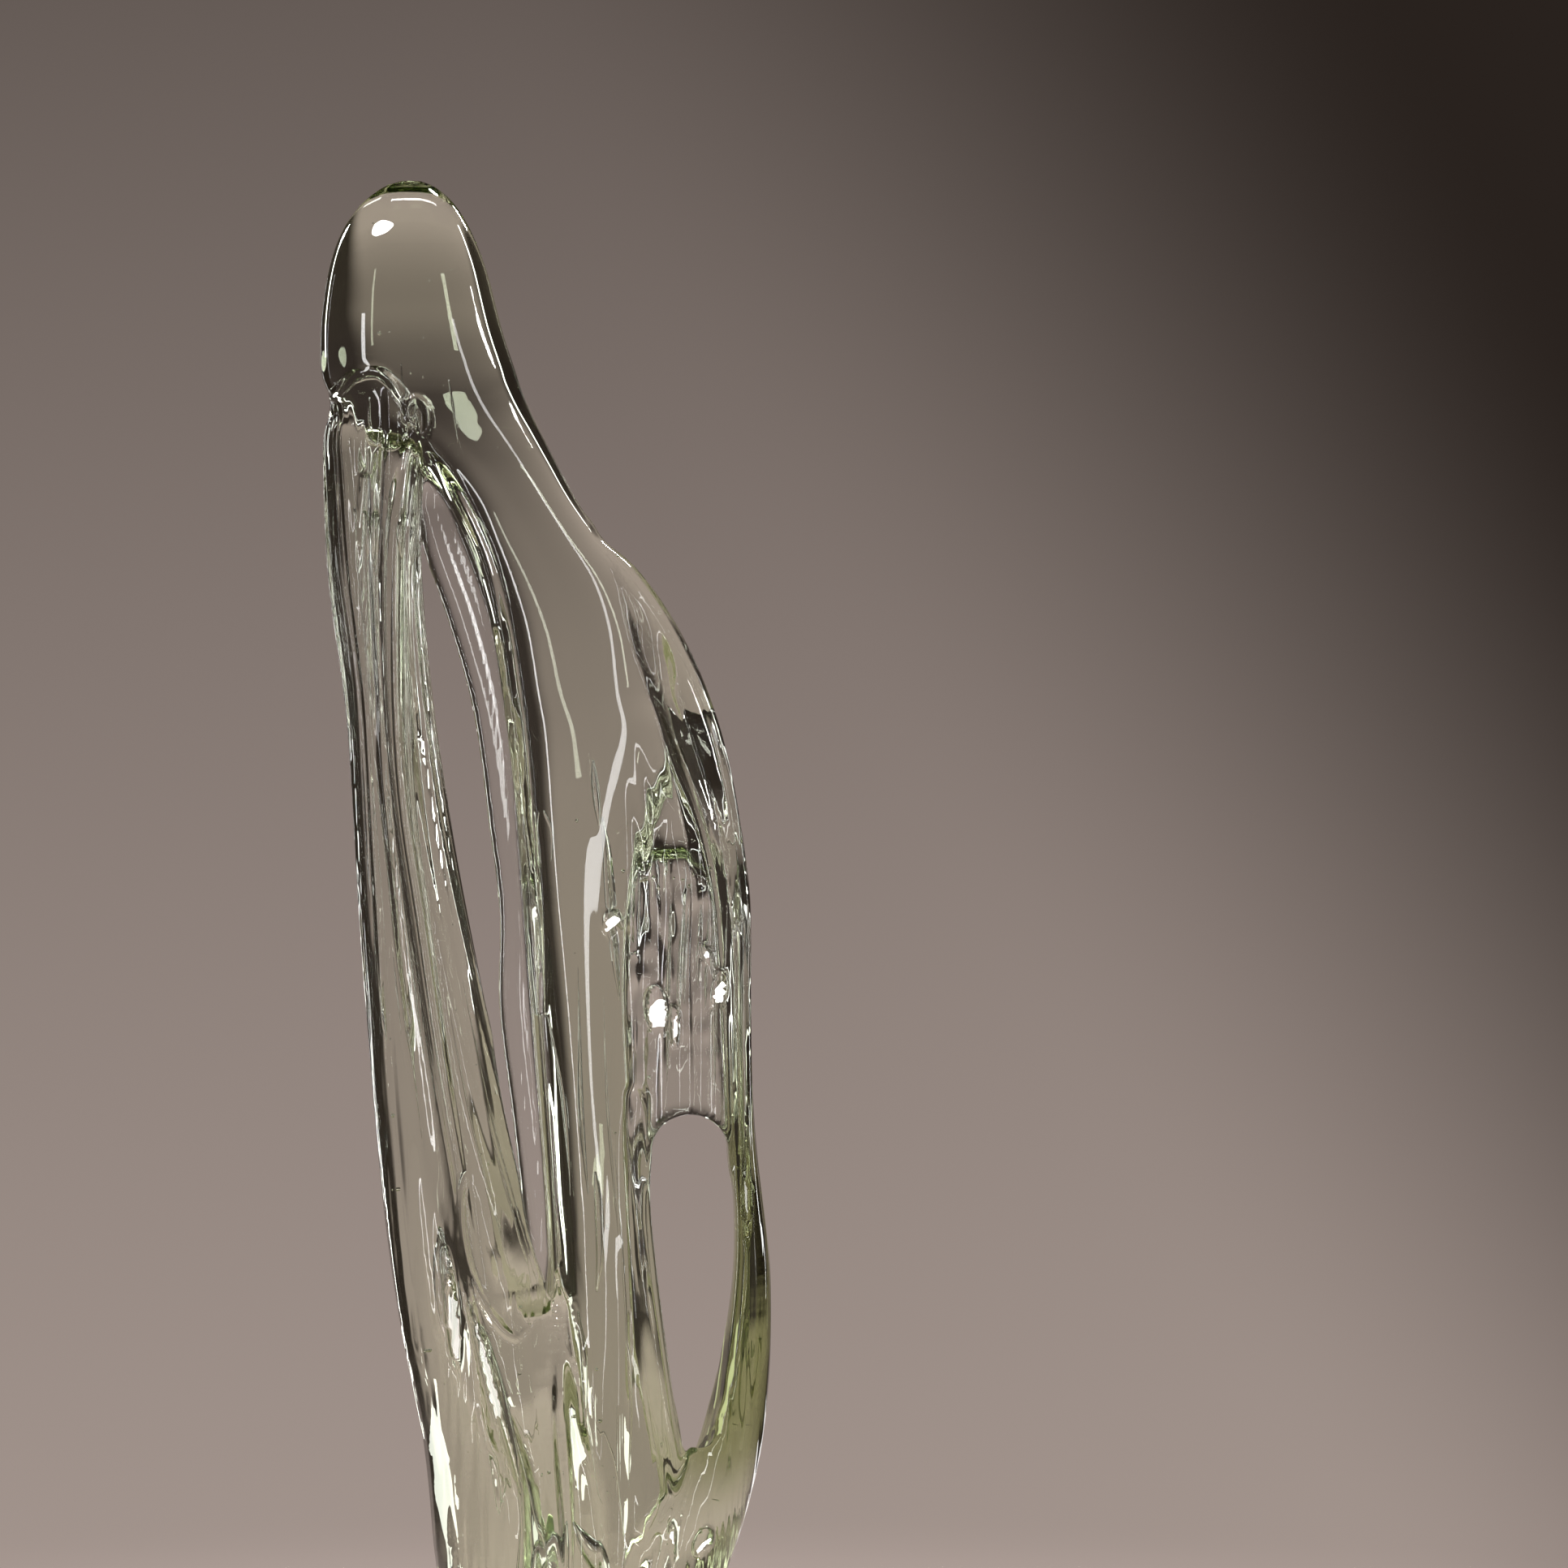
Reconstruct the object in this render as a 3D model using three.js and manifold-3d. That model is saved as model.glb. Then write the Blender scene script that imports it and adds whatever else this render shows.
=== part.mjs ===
// A free-form sculpture of clear glass: canes and sheets of hot glass, drawn up from a thick foot and
// fused at their ends, with two slanting openings between them. Millimetres, +Z up, front towards -Y.
// The origin is the centre of the flat face that the foot rests on.
import * as THREE from "three";
import Module from "manifold-3d";
import { mergeVertices } from "three/addons/utils/BufferGeometryUtils.js";

const wasm = await Module();
wasm.setup();

// Levels at which the glass changes, each as its rise above the level before it
const rises = {
  footTop: 38,
  waist: 22,
  trunk: 28,
  rightCrotch: 31,
  leftCrotch: 39,
  rightArch: 43,
  pocketTop: 55,
  shoulder: 78,
  neck: 30,
  brow: 28,
  crown: 38,
};

const level = {};
let risen = 0;
for (const [name, rise] of Object.entries(rises)) {
  risen += rise;
  level[name] = risen;
}

// A height part of the way from one level up to another
const between = (low, high, share) => level[low] + share * (level[high] - level[low]);

// Foot: a round gather, pressed flat and ground underneath, its rim rounded and its top drawn up in a flare
const footRadius = 56;
const footRimHeight = 17;
const footRimRound = 10;

// Clearance between two gathers along the line where they are fused
const fuseGap = 0.3;

// Faceting of the drawn glass
const sides = 24;
const ringsPerStation = 3;
const capRings = 5;
const footCurveSteps = 5;

// Each gather is drawn through stations. A station has its height (z), its centre (x, y), its half width (a),
// its half depth (b) and its turn about the vertical in degrees. Squareness is 2 for an oval section and more
// for a flatter one, skew thins the section towards +X, and a cap is the rise of a rounded end.
const core = {
  squareness: 2,
  stations: [
    { z: level.footTop + fuseGap, x: 0, y: 0, a: 31, b: 31, turn: 0 },
    { z: level.waist, x: 0, y: 0, a: 27, b: 24, turn: 0 },
    { z: level.trunk, x: 0.5, y: 0, a: 25, b: 18, turn: 4 },
    { z: level.rightCrotch, x: -3, y: 0, a: 20, b: 14, turn: 6 },
    { z: between("rightCrotch", "leftCrotch", 0.33), x: -5, y: 0, a: 13, b: 9, turn: 8 },
  ],
  capHigh: 8,
};

const outerCane = {
  squareness: 2,
  stations: [
    { z: between("waist", "trunk", 0.2), x: -16, y: -2, a: 12.4, b: 16.5, turn: 0 },
    { z: level.trunk, x: -22.6, y: -3, a: 12, b: 18, turn: 6 },
    { z: level.rightCrotch, x: -27.5, y: -3, a: 10.5, b: 17, turn: 10 },
    { z: level.leftCrotch, x: -36.8, y: -3, a: 8.6, b: 14.5, turn: 14 },
    { z: level.rightArch, x: -42.6, y: -3, a: 7.4, b: 12.4, turn: 18 },
    { z: level.pocketTop, x: -47.2, y: -3, a: 6.8, b: 10.8, turn: 22 },
    { z: between("pocketTop", "shoulder", 0.56), x: -50.4, y: -2, a: 6.6, b: 10, turn: 24 },
    { z: level.shoulder, x: -54, y: -1, a: 7.4, b: 10.6, turn: 20 },
    { z: level.neck, x: -55.2, y: 0, a: 8.4, b: 11.2, turn: 10 },
  ],
  capLow: 16,
};

const innerCane = {
  squareness: 2,
  stations: [
    { z: between("waist", "trunk", 0.2), x: -5, y: -10, a: 15, b: 14, turn: 0 },
    { z: between("trunk", "rightCrotch", 0.4), x: -9.5, y: -9, a: 16, b: 15, turn: -6 },
    { z: between("rightCrotch", "leftCrotch", 0.4), x: -16.5, y: -7, a: 16, b: 15.5, turn: -12 },
    { z: level.leftCrotch, x: -19.5, y: -6, a: 15.6, b: 14.5, turn: -14 },
    { z: level.rightArch, x: -29.6, y: -6, a: 13.4, b: 12.5, turn: -16 },
    { z: level.pocketTop, x: -38.2, y: -6, a: 9.4, b: 11, turn: -16 },
    { z: between("pocketTop", "shoulder", 0.56), x: -43.4, y: -7, a: 7.6, b: 9.6, turn: -12 },
    { z: level.shoulder, x: -45.6, y: -7, a: 6.8, b: 8.6, turn: -8 },
    { z: level.neck, x: -45.2, y: -5.2, a: 7, b: 8, turn: 0 },
  ],
  capLow: 18,
};

const sail = {
  squareness: 2.4,
  skew: 0.2,
  stations: [
    { z: between("waist", "trunk", 0.2), x: 5, y: 6, a: 17, b: 17, turn: 0 },
    { z: level.trunk, x: 6, y: 6, a: 16.6, b: 18, turn: 2 },
    { z: level.rightCrotch, x: 9, y: 5, a: 16.4, b: 19, turn: 4 },
    { z: level.leftCrotch, x: 8.6, y: 4, a: 12.2, b: 18, turn: 8 },
    { z: level.rightArch, x: 4.6, y: 4, a: 11.2, b: 16.5, turn: 12 },
    { z: level.pocketTop, x: 2.8, y: 3, a: 14.4, b: 14, turn: 12 },
    { z: between("pocketTop", "shoulder", 0.44), x: 3.6, y: 2, a: 18.8, b: 11.8, turn: 9 },
    { z: between("pocketTop", "shoulder", 0.76), x: -0.6, y: 1, a: 19.4, b: 10.4, turn: 6 },
    { z: level.shoulder, x: -7.2, y: 0, a: 18.6, b: 9.6, turn: 4 },
    { z: between("shoulder", "neck", 0.6), x: -18.4, y: 0, a: 16.4, b: 9.4, turn: 2 },
    { z: level.neck, x: -23.8, y: 0, a: 16.2, b: 9.8, turn: 0 },
  ],
  capLow: 18,
};

const hood = {
  squareness: 2.1,
  skew: 0.26,
  stations: [
    { z: level.neck, x: -35.6, y: 0, a: 28, b: 13, turn: 0 },
    { z: between("neck", "brow", 0.36), x: -38, y: 0, a: 26, b: 14.4, turn: 0 },
    { z: between("neck", "brow", 0.72), x: -40, y: 0, a: 24, b: 15.4, turn: 0 },
    { z: level.brow, x: -41.2, y: 0, a: 22.6, b: 15.6, turn: 0 },
  ],
  capHigh: rises.crown,
};

const rightLimb = {
  squareness: 2,
  stations: [
    { z: between("waist", "trunk", 0.2), x: 15.6, y: -1, a: 13, b: 16.5, turn: 0 },
    { z: level.trunk, x: 22.6, y: -1, a: 13.6, b: 18, turn: -6 },
    { z: level.rightCrotch, x: 35.6, y: -2, a: 8.6, b: 15.5, turn: -12 },
    { z: level.leftCrotch, x: 42, y: -3, a: 4.6, b: 13, turn: -8 },
    { z: level.rightArch, x: 39.4, y: -3, a: 3.4, b: 11.5, turn: 0 },
    { z: level.pocketTop, x: 36.2, y: -2, a: 4.8, b: 12, turn: 6 },
    { z: between("pocketTop", "shoulder", 0.44), x: 28, y: 0, a: 7.6, b: 12, turn: 12 },
    { z: between("pocketTop", "shoulder", 0.77), x: 17, y: 1, a: 8.6, b: 10.5, turn: 14 },
    { z: level.shoulder, x: 6, y: 1, a: 8.2, b: 8.4, turn: 8 },
  ],
  capLow: 16,
  capHigh: 6,
};

const web = {
  squareness: 2.5,
  stations: [
    { z: level.rightArch, x: 26, y: -7, a: 14, b: 5.8, turn: 0 },
    { z: between("rightArch", "pocketTop", 0.62), x: 26.6, y: -6.6, a: 14, b: 5.8, turn: 2 },
    { z: level.pocketTop, x: 27, y: -3.4, a: 14, b: 8.6, turn: 4 },
    { z: between("pocketTop", "shoulder", 0.3), x: 23, y: -1, a: 12.6, b: 10, turn: 6 },
    { z: between("pocketTop", "shoulder", 0.62), x: 16, y: 0, a: 10, b: 9, turn: 6 },
  ],
  capLow: 26,
  capHigh: 8,
};

// Round top of the right opening, cut through the web from front to back
const rightArch = { x: 27.2, halfWidth: 9.6, rise: 24, turn: 6 };

// Knot of glass in front of the neck, where the canes cross at the top of the left opening
const knot = {
  squareness: 2,
  stations: [
    { z: level.neck - 1, x: -40.2, y: -12.6, a: 3.6, b: 4.4, turn: 0 },
    { z: level.neck + 5, x: -41, y: -13, a: 4.6, b: 4.8, turn: 0 },
  ],
  capLow: 7,
  capHigh: 5,
};

// A smooth curve through the stations, with places as one curve and sizes as another
function curves(stations) {
  const places = stations.map((s) => new THREE.Vector3(s.x, s.y, s.z));
  const sizes = stations.map((s) => new THREE.Vector3(s.a, s.b, s.turn));
  return [places, sizes].map((points) => new THREE.CatmullRomCurve3(points, false, "catmullrom", 0.5));
}

// The point of a section at an angle: a squared ellipse, thinner towards +x where it has a skew
function sectionPoint(angle, a, b, squareness, skew) {
  const across = Math.sign(Math.cos(angle)) * Math.abs(Math.cos(angle)) ** (2 / squareness);
  const deep = Math.sign(Math.sin(angle)) * Math.abs(Math.sin(angle)) ** (2 / squareness);
  return [a * across, b * deep * (1 - skew * across)];
}

// A drawn gather: rings of points along its stations, closed by rounded or flat ends
function drawn({ stations, squareness, skew = 0, capLow = 0, capHigh = 0 }, grow = 0) {
  const [places, sizes] = curves(stations);
  const steps = (stations.length - 1) * ringsPerStation;
  const rings = [];
  const addRing = (t, rise, share) => {
    const place = places.getPoint(t);
    const size = sizes.getPoint(t);
    const turn = THREE.MathUtils.degToRad(size.z);
    const ring = [];
    for (let i = 0; i < sides; i++) {
      const angle = (i / sides) * 2 * Math.PI;
      const [u, v] = sectionPoint(angle, (size.x + grow) * share, (size.y + grow) * share, squareness, skew);
      ring.push([
        place.x + u * Math.cos(turn) - v * Math.sin(turn),
        place.y + u * Math.sin(turn) + v * Math.cos(turn),
        place.z + rise,
      ]);
    }
    rings.push(ring);
  };
  const capTurn = (i) => (i / capRings) * (Math.PI / 2);
  if (capLow > 0) {
    for (let i = capRings - 1; i > 0; i--) {
      addRing(0, -(capLow + grow) * Math.sin(capTurn(i)), Math.cos(capTurn(i)));
    }
  }
  for (let i = 0; i <= steps; i++) {
    addRing(i / steps, 0, 1);
  }
  if (capHigh > 0) {
    for (let i = 1; i < capRings; i++) {
      addRing(1, (capHigh + grow) * Math.sin(capTurn(i)), Math.cos(capTurn(i)));
    }
  }
  const first = places.getPoint(0);
  const last = places.getPoint(1);
  const low = [first.x, first.y, first.z - (capLow > 0 ? capLow + grow : 0)];
  const high = [last.x, last.y, last.z + (capHigh > 0 ? capHigh + grow : 0)];
  return closedSolid(rings, low, high);
}

// The solid inside a stack of rings, with a middle point for each end
function closedSolid(rings, low, high) {
  const points = rings.flat();
  const lowIndex = points.push(low) - 1;
  const highIndex = points.push(high) - 1;
  const top = (rings.length - 1) * sides;
  const triangles = [];
  for (let i = 0; i < sides; i++) {
    const next = (i + 1) % sides;
    triangles.push([lowIndex, next, i]);
    for (let r = 0; r + 1 < rings.length; r++) {
      const here = r * sides;
      const above = here + sides;
      triangles.push([here + i, here + next, above + next]);
      triangles.push([here + i, above + next, above + i]);
    }
    triangles.push([highIndex, top + i, top + next]);
  }
  return solidOf(points.flat(), triangles.flat());
}

function solidOf(coordinates, corners) {
  return new wasm.Manifold(
    new wasm.Mesh({
      numProp: 3,
      vertProperties: Float32Array.from(coordinates),
      triVerts: Uint32Array.from(corners),
    }),
  );
}

// A solid from a three.js geometry
function solidFrom(geometry) {
  const bare = geometry.clone();
  bare.deleteAttribute("normal");
  bare.deleteAttribute("uv");
  const merged = mergeVertices(bare, 1e-4);
  return solidOf(merged.attributes.position.array, merged.index.array);
}

// Half of the foot's section: ground face, rounded rim, then the flare up to the trunk
function footProfile() {
  const collar = core.stations[0].a;
  const rimMiddle = footRimHeight / 2;
  const outline = new THREE.Path();
  outline.moveTo(0, 0);
  outline.lineTo(footRadius - footRimRound, 0);
  outline.absellipse(
    footRadius - footRimRound, rimMiddle,
    footRimRound, rimMiddle,
    -Math.PI / 2, Math.PI / 2,
  );
  outline.quadraticCurveTo(collar, footRimHeight, collar, level.footTop);
  outline.lineTo(0, level.footTop);
  return outline.getPoints(footCurveSteps);
}

// Each gather is cut by those that were laid on before it, with the fuse gap between them
function cutBy(shape, neighbours) {
  return neighbours.reduce((solid, other) => solid.subtract(drawn(other, fuseGap)), drawn(shape));
}

// An oval bar from front to back, whose top is the arch of the right opening
function archBar() {
  const bar = new THREE.CylinderGeometry(1, 1, 2 * footRadius, 2 * sides);
  bar.scale(rightArch.halfWidth, 1, rightArch.rise);
  bar.rotateZ(THREE.MathUtils.degToRad(rightArch.turn));
  bar.translate(rightArch.x, 0, level.rightArch - rightArch.rise);
  return solidFrom(bar);
}

// The canes end in a flat face under the hood
function belowNeck(solid) {
  return solid.trimByPlane([0, 0, -1], fuseGap - level.neck);
}

// The largest single body of a solid, so that a cut leaves no loose sliver
function mainBody(solid) {
  const bodies = solid.decompose();
  return bodies.reduce((best, body) => (body.volume() > best.volume() ? body : best));
}

const glass = new THREE.MeshStandardMaterial({
  color: new THREE.Color(0.8, 0.84, 0.74),
  roughness: 0.03,
  metalness: 0,
  transparent: true,
  opacity: 0.4,
});

const sculpture = new THREE.Group();
sculpture.name = "glass_sculpture";

function addPiece(name, solid) {
  const { vertProperties, triVerts, numProp } = mainBody(solid).getMesh();
  const position = new Float32Array((vertProperties.length / numProp) * 3);
  for (let i = 0; i < position.length / 3; i++) {
    position.set(vertProperties.subarray(i * numProp, i * numProp + 3), i * 3);
  }
  const geometry = new THREE.BufferGeometry();
  geometry.setAttribute("position", new THREE.BufferAttribute(position, 3));
  geometry.setIndex(new THREE.BufferAttribute(Uint32Array.from(triVerts), 1));
  geometry.computeVertexNormals();
  const mesh = new THREE.Mesh(geometry, glass);
  mesh.name = name;
  sculpture.add(mesh);
}

const foot = solidFrom(new THREE.LatheGeometry(footProfile(), 2 * sides).rotateX(Math.PI / 2));

addPiece("foot", foot);
addPiece("trunk_core", cutBy(core, [sail, innerCane, outerCane, rightLimb]));
addPiece("centre_sail", belowNeck(drawn(sail)));
addPiece("left_inner_cane", belowNeck(cutBy(innerCane, [sail])));
addPiece("left_outer_cane", belowNeck(cutBy(outerCane, [sail, innerCane])));
addPiece("right_limb", cutBy(rightLimb, [sail, innerCane, outerCane]));
addPiece("shoulder_web", cutBy(web, [sail, rightLimb]).subtract(archBar()));
addPiece("hood", drawn(hood));
addPiece("crossing_knot", cutBy(knot, [sail, innerCane, hood]));

export default sculpture;
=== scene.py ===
"""A free-form sculpture of clear glass on a pale floor, seen from the front, above its foot.

The glass is one fused skin: every gather is drawn through stations as its solid in the frame is, softly
joined to its neighbours, fluted and streaked, and meshed with them. The tables are in millimetres and the
scene is in metres.
"""

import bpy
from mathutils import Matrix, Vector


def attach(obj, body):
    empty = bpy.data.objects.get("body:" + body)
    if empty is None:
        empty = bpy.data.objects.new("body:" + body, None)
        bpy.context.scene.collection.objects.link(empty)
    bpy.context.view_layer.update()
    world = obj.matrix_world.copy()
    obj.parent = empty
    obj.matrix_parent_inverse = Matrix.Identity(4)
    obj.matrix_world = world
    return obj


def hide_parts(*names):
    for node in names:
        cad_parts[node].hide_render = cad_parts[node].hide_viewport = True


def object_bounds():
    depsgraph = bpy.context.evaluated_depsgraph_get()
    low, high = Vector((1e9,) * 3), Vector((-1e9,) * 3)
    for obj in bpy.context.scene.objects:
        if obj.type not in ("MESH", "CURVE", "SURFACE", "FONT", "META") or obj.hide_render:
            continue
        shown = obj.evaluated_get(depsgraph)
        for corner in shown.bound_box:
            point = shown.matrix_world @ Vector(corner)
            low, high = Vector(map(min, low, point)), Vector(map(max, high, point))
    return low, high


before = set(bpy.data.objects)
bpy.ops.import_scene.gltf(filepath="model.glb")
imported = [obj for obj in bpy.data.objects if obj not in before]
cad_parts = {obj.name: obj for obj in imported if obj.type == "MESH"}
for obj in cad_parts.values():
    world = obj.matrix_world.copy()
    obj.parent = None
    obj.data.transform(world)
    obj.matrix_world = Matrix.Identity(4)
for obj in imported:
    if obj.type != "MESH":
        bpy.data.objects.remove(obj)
cad_box = [list(corner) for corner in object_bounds()]

import math
import random

import bmesh
import bpy
import numpy as np
import openvdb
from mathutils import Vector

MM = 0.001

# The glass, in millimetres

# Heights of the levels that the gathers are drawn through
FOOT_TOP, WAIST, TRUNK, RIGHT_CROTCH, LEFT_CROTCH = 38.0, 60.0, 88.0, 119.0, 158.0
RIGHT_ARCH, POCKET_TOP, SHOULDER, NECK, BROW, CROWN = 201.0, 256.0, 334.0, 364.0, 392.0, 430.0

# The foot: radii, height and rounding of its rim, and the flare that narrows from the rim up to the trunk
FOOT_RADIUS, FOOT_RIM_HEIGHT, FOOT_RIM_ROUND, FOOT_COLLAR = 56.0, 17.0, 10.0, 31.0
FLARE_TOP, FLARE_NARROWING, FLARE_SUNK, FLARE_STEEPNESS, FOOT_SOFT = 74.0, 14.0, 6.0, 0.75, 3.0


def between(low, high, share):
    """A height part of the way from one level up to another."""
    return low + share * (high - low)


# A gather is a stack of squared ovals with round ends. The squareness is the oval's power, the caps are the
# lengths of the ends, and the flutes have a depth and a twist. Columns of a station: height, centre x,
# centre y, half width, half depth, turn in degrees, softness of the joint with the glass laid on before.
GATHERS = {
    "core": dict(
        squareness=2.0, cap_low=8.0, cap_high=8.0, flutes=(0.12, 1.0),
        stations=[
            (FOOT_TOP, 0, 0, 26, 25, 0, 5),
            (between(FOOT_TOP, WAIST, 0.5), 0, 0, 26.6, 24.4, 0, 5),
            (WAIST, 0, 0, 26.6, 23.4, 0, 6),
            (TRUNK, 0.5, 0, 25, 18, 4, 6),
            (RIGHT_CROTCH, -3, 0, 20, 14, 6, 6),
            (between(RIGHT_CROTCH, LEFT_CROTCH, 0.33), -5, 0, 13, 9, 8, 6),
        ],
    ),
    "sail": dict(
        squareness=3.4, cap_low=18.0, cap_high=0.4, flutes=(0.008, 1.0),
        stations=[
            (between(WAIST, TRUNK, 0.2), 4, 5, 17, 16, 0, 7),
            (TRUNK, 6, 6, 16.6, 18, 2, 6),
            (RIGHT_CROTCH, 9, 5, 16.4, 19, 4, 4),
            (LEFT_CROTCH, 7.4, 4, 13.4, 18, 6, 3),
            (RIGHT_ARCH, 4.0, 4, 12.4, 16.5, 8, 3),
            (230, 2.9, 3.4, 13.4, 15, 8, 3),
            (POCKET_TOP, 2.2, 2.8, 14.8, 13.2, 7, 4),
            (272, 2.8, 2.2, 16.6, 12.2, 6, 6),
            (285, 3.8, 1.8, 18.6, 11.4, 5, 6),
            (295, 3.8, 1.5, 19.6, 10.9, 4, 6),
            (304, 1.6, 1.2, 18.8, 10.5, 3, 6),
            (319, -0.8, 0.8, 18.8, 10, 2, 6),
            (SHOULDER - 3, -4.8, 0.4, 18.4, 9.8, 1, 6),
            (342, -10.8, 0.2, 16.4, 9.8, 0, 6),
            (351, -15.8, 0, 15.2, 10, 0, 6),
            (359, -21.4, 0, 16.4, 10.4, 0, 6),
            (366, -28, 0, 19.4, 11.2, 0, 6),
            (372, -34.6, 0, 23, 12.2, 0, 5),
            (378, -38, 0, 23.8, 13.4, 0, 5),
            (383, -39.6, 0, 23.8, 14.2, 0, 5),
            (BROW, -41.2, 0, 22.4, 14.8, 0, 5),
            (400, -41.9, 0, 21, 14.4, 0, 5),
            (407, -42.2, 0, 19.5, 13.8, 0, 5),
            (413, -42.4, 0, 17.6, 12.8, 0, 5),
            (418, -42.4, 0, 15.4, 11.4, 0, 5),
            (422, -42.2, 0, 12.9, 9.7, 0, 5),
            (425, -42, 0, 10.4, 7.9, 0, 5),
            (427, -41.9, 0, 8.1, 6.2, 0, 5),
            (428.2, -41.8, 0, 6.4, 4.9, 0, 5),
            (429, -41.7, 0, 4.8, 3.7, 0, 5),
            (CROWN - 0.5, -41.6, 0, 3.3, 2.6, 0, 5),
        ],
    ),
    "fin": dict(
        squareness=3.4, cap_low=14.0, cap_high=8.0, flutes=(0.02, 0.6),
        stations=[
            (148, -4, 6, 7, 2.4, 4, 4),
            (172, -7, 6, 7, 1.8, 4, 3),
            (198, -10, 6, 6.8, 1.4, 4, 3),
            (226, -13.0, 6, 7.2, 1.2, 6, 3),
            (250, -13.6, 6, 6.6, 1.2, 6, 3),
            (272, -15.8, 5.6, 7.0, 1.2, 6, 3),
            (300, -19.3, 5, 7.4, 1.2, 6, 3),
            (322, -24.4, 4.4, 8.4, 1.2, 6, 3),
            (339, -30.4, 3, 8.2, 1.2, 6, 3),
            (350, -34.6, 2, 6.2, 1.6, 4, 3),
        ],
    ),
    "inner_cane": dict(
        squareness=2.0, cap_low=18.0, cap_high=14.0, flutes=(0.2, 1.2),
        stations=[
            (between(WAIST, TRUNK, 0.2), -5, -8, 15, 14, 0, 7),
            (between(TRUNK, RIGHT_CROTCH, 0.4), -9.5, -9, 16, 15, -6, 5),
            (between(RIGHT_CROTCH, LEFT_CROTCH, 0.4), -16.5, -7, 16, 15.5, -12, 3),
            (LEFT_CROTCH, -19.5, -6, 15.6, 14.5, -14, 2),
            (RIGHT_ARCH, -29.6, -6, 13.4, 12.5, -16, 2),
            (POCKET_TOP, -38.2, -6, 9.4, 11, -16, 2),
            (between(POCKET_TOP, SHOULDER, 0.56), -43.4, -7, 7.6, 9.6, -12, 2),
            (SHOULDER, -45.6, -7, 6.8, 8.6, -8, 2.5),
            (NECK, -45.2, -5.2, 7, 8, 0, 5),
        ],
    ),
    "outer_cane": dict(
        squareness=2.0, cap_low=16.0, cap_high=14.0, flutes=(0.2, -1.2),
        stations=[
            (between(WAIST, TRUNK, 0.2), -14.6, -2, 12.4, 15.5, 0, 7),
            (TRUNK, -22.6, -3, 12, 18, 6, 7),
            (RIGHT_CROTCH, -27.5, -3, 10.5, 17, 10, 7),
            (LEFT_CROTCH, -36.8, -3, 8.6, 14.5, 14, 7),
            (RIGHT_ARCH, -42.6, -3, 7.4, 12.4, 18, 6),
            (POCKET_TOP, -47.2, -3, 6.8, 10.8, 22, 3),
            (between(POCKET_TOP, SHOULDER, 0.56), -50.4, -2, 6.6, 10, 24, 1.4),
            (SHOULDER, -54, -1, 7.4, 10.6, 20, 2),
            (NECK, -54.8, 0, 8.0, 10.8, 10, 5),
        ],
    ),
    "right_limb": dict(
        squareness=2.2, cap_low=16.0, cap_high=4.0, flutes=(0.07, 2.0),
        stations=[
            (between(WAIST, TRUNK, 0.2), 14, -1, 13, 15.5, 0, 7),
            (TRUNK, 22.6, -1, 13.6, 18, -6, 5),
            (RIGHT_CROTCH, 35.6, -2, 8.6, 15.5, -12, 3),
            (LEFT_CROTCH, 42, -3, 4.6, 13, -8, 3),
            (RIGHT_ARCH, 39.4, -3, 3.4, 11.5, 0, 3),
            (POCKET_TOP, 36.2, -2, 4.8, 12, 6, 3),
            (between(POCKET_TOP, SHOULDER, 0.44), 28, 0, 7.6, 12, 12, 2),
            (between(POCKET_TOP, SHOULDER, 0.77), 18.2, 0.6, 7.8, 10.5, 12, 1.6),
            (SHOULDER, 9.4, 0.6, 4.9, 8.4, 6, 1.2),
            (between(SHOULDER, NECK, 0.3), 0.4, 0, 3, 6, 2, 1.6),
        ],
    ),
    "web": dict(
        squareness=2.5, cap_low=26.0, cap_high=8.0, flutes=(0.25, 1.0),
        stations=[
            (RIGHT_ARCH, 26, -7, 14, 5.8, 0, 3),
            (between(RIGHT_ARCH, POCKET_TOP, 0.62), 26.6, -6.6, 14, 5.8, 2, 3),
            (POCKET_TOP, 27, -3.4, 14, 8.6, 4, 3),
            (between(POCKET_TOP, SHOULDER, 0.3), 23, -1, 12.6, 8, 6, 2),
            (between(POCKET_TOP, SHOULDER, 0.62), 17, 1, 10, 5.5, 6, 2),
        ],
    ),
    "knot": dict(
        squareness=2.0, cap_low=7.0, cap_high=5.0, flutes=(0.1, 0.0),
        stations=[
            (NECK - 1, -40.6, -9.4, 2.2, 2.6, 0, 2.0),
            (NECK + 3, -41, -9.8, 2.6, 2.8, 0, 2.0),
        ],
    ),
}

# The openings, cut through the glass. Columns of the edges: height, left edge, right edge, at the depth of
# the front. For each millimetre further back the left and right edge move along +X by their leans, which
# differ between the lower and the upper half, and the lower end reaches down by the drop. The blend is the
# height over which the halves meet, soft is the rounding of the rim, and the caps are the ends' lengths.
OPENINGS = {
    "left": dict(
        lean_low=(-0.52, -0.06), lean_high=(-0.52, -0.06), drop=0.24, blend=40.0,
        front=-14.0, soft=2.4, cap_low=6.0, cap_high=14.0,
        edges=[
            (161, -7.2, -5.6),
            (168, -10.0, -6.0),
            (176, -11.6, -6.6),
            (188, -13.2, -7.4),
            (202, -15.6, -8.6),
            (214, -16.6, -10.4),
        ],
    ),
    "right": dict(
        lean_low=(-0.22, -0.32), lean_high=(-0.1, -0.1), drop=0.6, blend=56.0,
        front=-12.0, soft=1.8, cap_low=6.0, cap_high=9.0,
        edges=[
            (125, 27.6, 32.6),
            (134.8, 24.6, 35.0),
            (154.8, 20.0, 37.4),
            (174.8, 17.0, 38.0),
            (192, 18.0, 36.8),
        ],
    ),
}

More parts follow.
